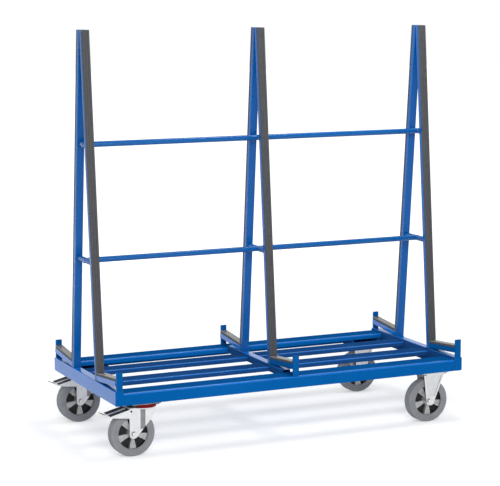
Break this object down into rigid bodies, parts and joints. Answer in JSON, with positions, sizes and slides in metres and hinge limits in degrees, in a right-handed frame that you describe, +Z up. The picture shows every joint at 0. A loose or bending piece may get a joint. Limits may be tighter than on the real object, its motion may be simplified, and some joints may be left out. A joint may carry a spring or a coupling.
{
  "type": "sheet goods cart",
  "caption": "Double-sided sheet goods cart: blue slatted steel frame with A-shaped racks, rubber-faced legs and arms, braked swivel castors at one end and fixed castors at the other.",
  "frame": {"origin": "On the floor, at the middle of the footprint over frame and brake pedals.", "axes": "+X along the cart toward the fixed castors, +Y from the front side to the back side, +Z up."},
  "size_m": [1.729, 0.8, 1.816],
  "materials": {
    "paint": "gloss blue powder coat on welded steel",
    "facing": "matt grey-black profiled rubber",
    "zinc": "bright zinc-plated pressed steel",
    "rim": "cast aluminium, satin",
    "tyre": "grey non-marking elastic rubber"
  },
  "bodies": {
    "frame": {"front_rail": "paint", "back_rail": "paint", "left_end_rail": "paint", "right_end_rail": "paint", "middle_cross_member": "paint", "front_left_slat": "paint", "back_left_slat": "paint", "front_right_slat": "paint", "back_right_slat": "paint", "front_left_leg": "paint", "front_left_leg_rubber": "facing", "front_left_arm": "paint", "front_left_arm_rubber": "facing", "back_left_leg": "paint", "back_left_leg_rubber": "facing", "back_left_arm": "paint", "back_left_arm_rubber": "facing", "front_middle_leg": "paint", "front_middle_leg_rubber": "facing", "front_middle_arm": "paint", "front_middle_arm_rubber": "facing", "back_middle_leg": "paint", "back_middle_leg_rubber": "facing", "back_middle_arm": "paint", "back_middle_arm_rubber": "facing", "front_right_leg": "paint", "front_right_leg_rubber": "facing", "front_right_arm": "paint", "front_right_arm_rubber": "facing", "back_right_leg": "paint", "back_right_leg_rubber": "facing", "back_right_arm": "paint", "back_right_arm_rubber": "facing", "lower_tie_rail": "paint", "upper_tie_rail": "paint", "front_left_carrier": "paint", "front_right_carrier": "paint", "front_swivel_plate": "zinc", "front_fixed_fork": "zinc", "front_right_axle": "zinc", "back_left_carrier": "paint", "back_right_carrier": "paint", "back_swivel_plate": "zinc", "back_fixed_fork": "zinc", "back_right_axle": "zinc"},
    "front_swivel": {"front_swivel_fork": "zinc", "front_left_axle": "zinc"},
    "front_left_wheel": {"front_left_rim": "rim", "front_left_tyre": "tyre"},
    "front_pedal": {"front_brake_pedal": "zinc"},
    "front_right_wheel": {"front_right_rim": "rim", "front_right_tyre": "tyre"},
    "back_swivel": {"back_swivel_fork": "zinc", "back_left_axle": "zinc"},
    "back_left_wheel": {"back_left_rim": "rim", "back_left_tyre": "tyre"},
    "back_pedal": {"back_brake_pedal": "zinc"},
    "back_right_wheel": {"back_right_rim": "rim", "back_right_tyre": "tyre"}
  },
  "joints": [
    {"name": "front_swivel_turn", "type": "hinge", "parent": "frame", "child": "front_swivel", "pos_m": [-0.6975, -0.34, 0.22], "axis": [0, 0, 1], "continuous": true},
    {"name": "front_left_wheel_roll", "type": "hinge", "parent": "front_swivel", "child": "front_left_wheel", "pos_m": [-0.7525, -0.34, 0.1], "axis": [0, 1, 0], "continuous": true},
    {"name": "front_pedal_press", "type": "hinge", "parent": "front_swivel", "child": "front_pedal", "pos_m": [-0.7655, -0.34, 0.202], "axis": [0, -1, 0], "range_deg": [0, 10]},
    {"name": "front_right_wheel_roll", "type": "hinge", "parent": "frame", "child": "front_right_wheel", "pos_m": [0.7085, -0.34, 0.1], "axis": [0, 1, 0], "continuous": true},
    {"name": "back_swivel_turn", "type": "hinge", "parent": "frame", "child": "back_swivel", "pos_m": [-0.6975, 0.34, 0.22], "axis": [0, 0, 1], "continuous": true},
    {"name": "back_left_wheel_roll", "type": "hinge", "parent": "back_swivel", "child": "back_left_wheel", "pos_m": [-0.7525, 0.34, 0.1], "axis": [0, 1, 0], "continuous": true},
    {"name": "back_pedal_press", "type": "hinge", "parent": "back_swivel", "child": "back_pedal", "pos_m": [-0.7655, 0.34, 0.202], "axis": [0, -1, 0], "range_deg": [0, 10]},
    {"name": "back_right_wheel_roll", "type": "hinge", "parent": "frame", "child": "back_right_wheel", "pos_m": [0.7085, 0.34, 0.1], "axis": [0, 1, 0], "continuous": true}
  ]
}
